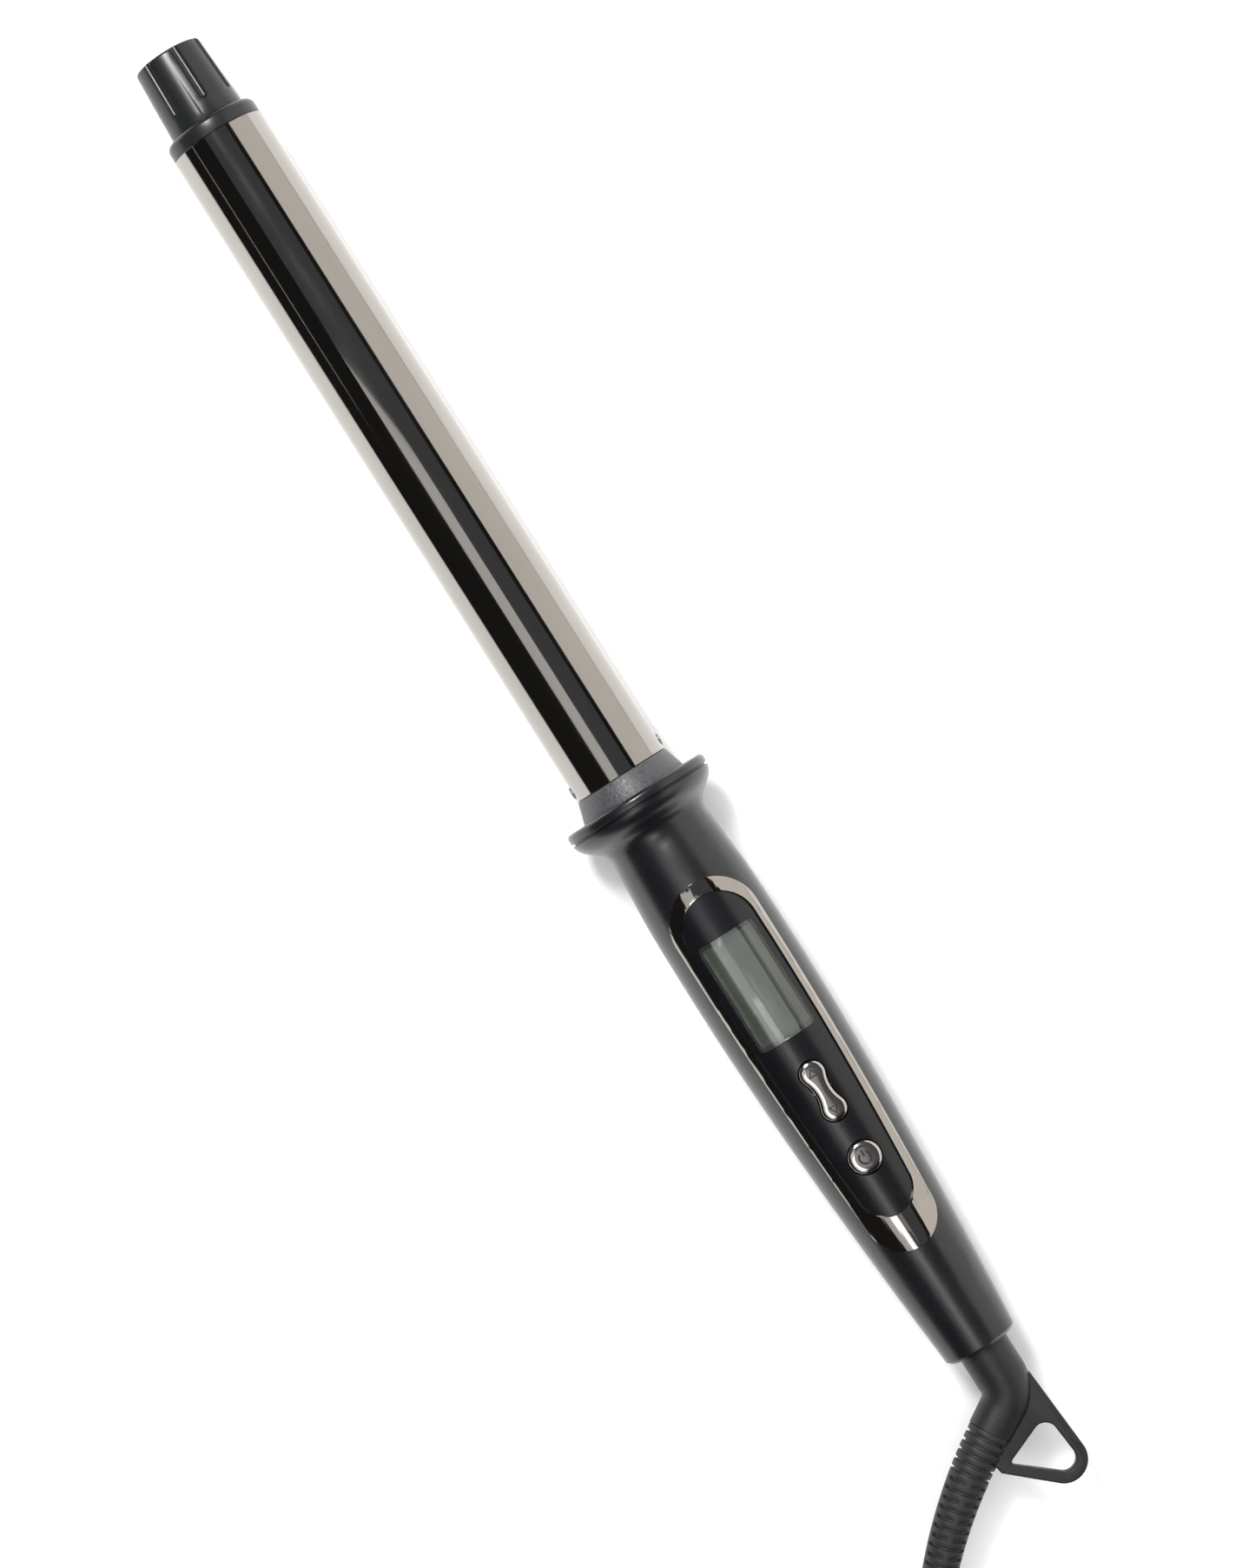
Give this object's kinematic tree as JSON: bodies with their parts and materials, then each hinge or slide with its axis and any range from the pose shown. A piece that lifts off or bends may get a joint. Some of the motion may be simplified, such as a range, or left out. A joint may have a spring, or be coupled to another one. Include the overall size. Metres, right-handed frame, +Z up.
{
  "type": "curling wand",
  "caption": "Hair-curling wand: mirror-dark round barrel with a cool tip, round flange, tapered handle with display and keys, swivel cord with hanging eye.",
  "frame": {"origin": "on the surface that the wand lies on, under the middle of the wand without its cord", "axes": "+X along the wand from the cool tip to the cord end, +Z up out of the control panel, +Y to the left seen from the cord end with the panel up"},
  "size_m": [0.5696, 0.1057, 0.0392],
  "materials": {
    "barrel_metal": "mirror-polished dark titanium coating",
    "spreader_aluminium": "extruded, plain",
    "ceramic": "sintered ceramic",
    "film": "polyimide film",
    "heat_plastic": "moulded, satin, heat-resistant",
    "grained_plastic": "moulded, fine grain",
    "handle_plastic": "moulded, satin, soft sheen",
    "panel_plastic": "moulded, semi-gloss",
    "trim_chrome": "dark nickel-chrome plating on ABS",
    "key_chrome": "bright dark-chrome plating on ABS",
    "clear_lens": "clear polycarbonate",
    "lcd_glass": "reflective liquid-crystal cell",
    "white_plastic": "moulded, white",
    "board_laminate": "solder mask on glass-fibre laminate",
    "black_resin": "moulded epoxy",
    "capacitor_red": "dipped box",
    "silicone": "silicone rubber",
    "steel": "zinc-plated",
    "brass": "turned",
    "acetal": "moulded, natural",
    "elbow_nylon": "moulded, fine grain",
    "boot_rubber": "moulded, ribbed",
    "cord_pvc": "extruded, satin",
    "tie_strap": "woven hook-and-loop strap",
    "plug_pvc": "moulded, satin",
    "plug_nickel": "nickel-plated"
  },
  "bodies": {
    "wand": {"cool_tip": "heat_plastic", "tip_collar": "heat_plastic", "tip_screw": "steel", "barrel": "barrel_metal", "barrel_screws": "steel", "heat_spreader_upper": "spreader_aluminium", "heat_spreader_lower": "spreader_aluminium", "ptc_heater": "ceramic", "insulation_film": "film", "thermistor": "black_resin", "thermal_fuse": "white_plastic", "heater_leads": "silicone", "base_collar": "grained_plastic", "guard_ring": "handle_plastic", "handle_upper_shell": "handle_plastic", "handle_lower_shell": "handle_plastic", "handle_screws": "steel", "bezel_trim": "trim_chrome", "control_panel": "panel_plastic", "display_lens": "clear_lens", "lcd_module": "lcd_glass", "lcd_backlight": "white_plastic", "zebra_strips": "silicone", "rocker_pivot_pin": "steel", "circuit_board": "board_laminate", "board_screws": "steel", "temperature_switches": "black_resin", "power_switch": "black_resin", "film_capacitor": "capacitor_red", "triac": "black_resin", "board_fuse": "white_plastic", "microcontroller": "black_resin", "mains_leads": "silicone", "swivel_bush": "acetal", "brush_holder": "black_resin", "contact_brushes": "brass"},
    "rocker": {"rocker_key": "key_chrome"},
    "front_plunger": {"front_plunger": "white_plastic"},
    "rear_plunger": {"rear_plunger": "white_plastic"},
    "power_button": {"power_key": "key_chrome"},
    "power_plunger": {"power_plunger": "white_plastic"},
    "cord_assembly": {"swivel_elbow": "elbow_nylon", "retaining_clip": "steel", "slip_rings": "brass", "strain_relief": "boot_rubber", "cord_lead": "cord_pvc", "cord_coil": "cord_pvc", "cord_tail": "cord_pvc", "coil_tie": "tie_strap", "plug_body": "plug_pvc", "plug_pins": "plug_nickel"}
  },
  "joints": [
    {"name": "cord_swivel", "type": "hinge", "parent": "wand", "child": "cord_assembly", "pos_m": [0.16115, 0, 0.0196], "axis": [1, 0, 0], "continuous": true},
    {"name": "temperature_rocker", "type": "hinge", "parent": "wand", "child": "rocker", "pos_m": [0.09245, 0, 0.0292], "axis": [0, 1, 0], "range_deg": [-2.5, 2.5], "stiffness_Nm_per_rad": 0.2},
    {"name": "front_plunger_slide", "type": "slide", "parent": "wand", "child": "front_plunger", "axis": [0, 0, 1], "range_m": [-0.00026, 0.00026]},
    {"name": "rear_plunger_slide", "type": "slide", "parent": "wand", "child": "rear_plunger", "axis": [0, 0, 1], "range_m": [-0.00026, 0.00026]},
    {"name": "power_press", "type": "slide", "parent": "wand", "child": "power_button", "axis": [0, 0, -1], "range_m": [0, 0.0004], "stiffness_N_per_m": 3000},
    {"name": "power_plunger_slide", "type": "slide", "parent": "wand", "child": "power_plunger", "axis": [0, 0, -1], "range_m": [0, 0.0004]}
  ],
  "couplings": [
    {"joint": "front_plunger_slide", "follows": "temperature_rocker", "m_per_rad": 0.0055},
    {"joint": "rear_plunger_slide", "follows": "temperature_rocker", "m_per_rad": -0.0055},
    {"joint": "power_plunger_slide", "follows": "power_press", "ratio": 1}
  ]
}
